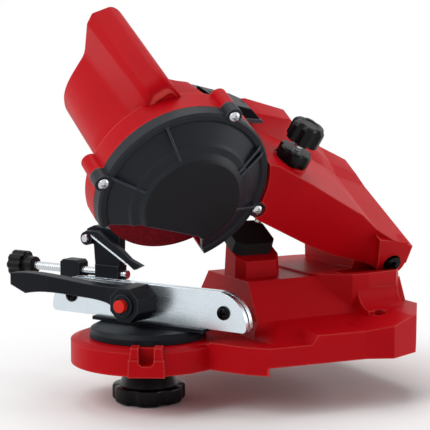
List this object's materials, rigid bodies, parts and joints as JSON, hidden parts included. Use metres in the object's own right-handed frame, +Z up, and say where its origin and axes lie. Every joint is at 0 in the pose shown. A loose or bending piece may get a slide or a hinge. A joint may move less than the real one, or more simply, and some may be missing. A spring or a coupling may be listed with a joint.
{
  "type": "electric saw chain sharpener",
  "caption": "Bench-mounted electric saw chain sharpener with a tilted grinding head, a swivelling chain vice and a depth stop.",
  "frame": {"origin": "midway between the two bench bolt holes, on the plane of the bench top", "axes": "+Z up from the bench, +X to the operator's right, -Y towards the operator"},
  "size_m": [0.2177, 0.2634, 0.2662],
  "materials": {
    "black_knob": "black knob moulding",
    "black_plastic": "satin black moulding",
    "black_rubber": "black rubber",
    "blackened_steel": "blackened steel fastener",
    "brass": "turned brass",
    "copper": "copper winding",
    "flange_alloy": "turned aluminium flange",
    "grey_plastic": "dark grey moulding",
    "lamination": "varnished steel lamination",
    "rail_steel": "zinc plated pressed steel",
    "red_button": "orange-red button",
    "red_plastic": "glossy red ABS moulding",
    "screw_steel": "bright zinc fastener",
    "spring_steel": "oiled spring wire",
    "turned_steel": "turned steel",
    "wheel_abrasive": "vitrified maroon abrasive"
  },
  "bodies": {
    "base": {"base_housing": "red_plastic", "stop_pad": "black_rubber", "hinge_bushes": "turned_steel", "return_spring": "spring_steel"},
    "head": {"head_housing": "red_plastic", "motor_cover": "red_plastic", "guard_cover": "black_plastic", "guard_screws": "screw_steel", "cover_screws": "screw_steel", "switch_console": "black_plastic", "cable_gland": "black_rubber", "motor_field": "lamination", "field_coils": "copper", "rear_bracket": "flange_alloy", "motor_bolts": "screw_steel", "front_bearing": "turned_steel", "rear_bearing": "turned_steel", "brush_holders": "brass", "pivot_bolt": "blackened_steel", "pivot_nut": "screw_steel", "depth_insert": "brass"},
    "wheel_spindle": {"spindle": "turned_steel", "armature": "lamination", "commutator": "copper", "cooling_fan": "grey_plastic", "inner_flange": "flange_alloy", "outer_flange": "flange_alloy", "spindle_nut": "screw_steel", "grinding_wheel": "wheel_abrasive"},
    "rocker": {"switch_rocker": "black_knob"},
    "depth_rod_body": {"depth_rod": "screw_steel"},
    "depth_knob_body": {"depth_knob": "black_knob"},
    "depth_lock_body": {"depth_lock_knob": "black_knob"},
    "vice": {"turntable": "black_plastic", "rail_holder": "black_plastic", "rear_rail": "rail_steel", "rail_screws": "blackened_steel", "clamp_stud": "screw_steel", "feed_bracket": "black_plastic", "lock_stud": "screw_steel"},
    "front_jaw": {"front_rail": "rail_steel"},
    "lever": {"clamp_lever": "black_plastic", "lever_insert": "brass"},
    "button": {"release_button": "red_button"},
    "feed_drive": {"feed_screw": "screw_steel", "feed_knob": "black_knob"},
    "carriage": {"stop_carriage": "black_plastic", "pawl_pin": "blackened_steel"},
    "pawl_arm": {"pawl": "black_plastic", "pawl_blade": "rail_steel"},
    "lock_washer_body": {"lock_washer": "screw_steel"},
    "lock_knob_body": {"lock_knob": "black_knob"}
  },
  "joints": [
    {"name": "head_swing", "type": "hinge", "parent": "base", "child": "head", "pos_m": [0.00835, 0.027, 0.07296], "axis": [0.866, 0, -0.5], "range_deg": [0, 6.4], "stiffness_Nm_per_rad": 12, "springref_deg": -20.05, "deforming": ["return_spring"]},
    {"name": "wheel_spin", "type": "hinge", "parent": "head", "child": "wheel_spindle", "pos_m": [0.03615, -0.1422, 0.12111], "axis": [0.866, 0, -0.5], "continuous": true},
    {"name": "switch_rock", "type": "hinge", "parent": "head", "child": "rocker", "pos_m": [0.0197, -0.10573, 0.17563], "axis": [0.866, 0, -0.5], "range_deg": [-14, 0]},
    {"name": "depth_slide", "type": "slide", "parent": "head", "child": "depth_rod_body", "axis": [0.4872, 0.225, 0.8438], "range_m": [0, 0.006]},
    {"name": "depth_turn", "type": "hinge", "parent": "depth_rod_body", "child": "depth_knob_body", "pos_m": [0.05274, -0.05343, 0.14985], "axis": [0.4872, 0.225, 0.8438], "range_deg": [0, 2160.5]},
    {"name": "depth_lock", "type": "hinge", "parent": "head", "child": "depth_lock_body", "pos_m": [0.04348, -0.0577, 0.13381], "axis": [0.4872, 0.225, 0.8438], "range_deg": [0, 60]},
    {"name": "vise_swivel", "type": "hinge", "parent": "base", "child": "vice", "pos_m": [0, -0.146, 0.015], "axis": [0, 0, 1], "range_deg": [-65, 5]},
    {"name": "jaw_slide", "type": "slide", "parent": "vice", "child": "front_jaw", "axis": [0.5, -0.866, 0], "range_m": [-0.000156, 0.000069]},
    {"name": "lever_turn", "type": "hinge", "parent": "front_jaw", "child": "lever", "pos_m": [0.00327, -0.15566, 0.0355], "axis": [0.5, -0.866, 0], "range_deg": [-45, 20]},
    {"name": "button_press", "type": "slide", "parent": "lever", "child": "button", "axis": [0.5, -0.866, 0], "range_m": [-0.002, 0], "stiffness_N_per_m": 400, "springref_m": 0.001},
    {"name": "feed_turn", "type": "hinge", "parent": "vice", "child": "feed_drive", "pos_m": [-0.10781, -0.19727, 0.0495], "axis": [0.866, 0.5, 0], "range_deg": [-1081, 1081]},
    {"name": "carriage_slide", "type": "slide", "parent": "vice", "child": "carriage", "axis": [0.866, 0.5, 0], "range_m": [-0.003, 0.003]},
    {"name": "pawl_lift", "type": "hinge", "parent": "carriage", "child": "pawl_arm", "pos_m": [-0.0446, -0.17175, 0.0745], "axis": [0.5, -0.866, 0], "range_deg": [0, 25]},
    {"name": "washer_slide", "type": "slide", "parent": "vice", "child": "lock_washer_body", "axis": [0, 0, 1], "range_m": [-0.00125, 0]},
    {"name": "lock_turn", "type": "hinge", "parent": "lock_washer_body", "child": "lock_knob_body", "pos_m": [0, -0.146, -0.02], "axis": [0, 0, 1], "range_deg": [-360.5, 0]}
  ],
  "couplings": [
    {"joint": "depth_turn", "follows": "depth_slide", "rad_per_m": 6283.2},
    {"joint": "lever_turn", "follows": "jaw_slide", "rad_per_m": 5026.5},
    {"joint": "feed_turn", "follows": "carriage_slide", "rad_per_m": 6283.2},
    {"joint": "lock_turn", "follows": "washer_slide", "rad_per_m": 5026.5}
  ]
}
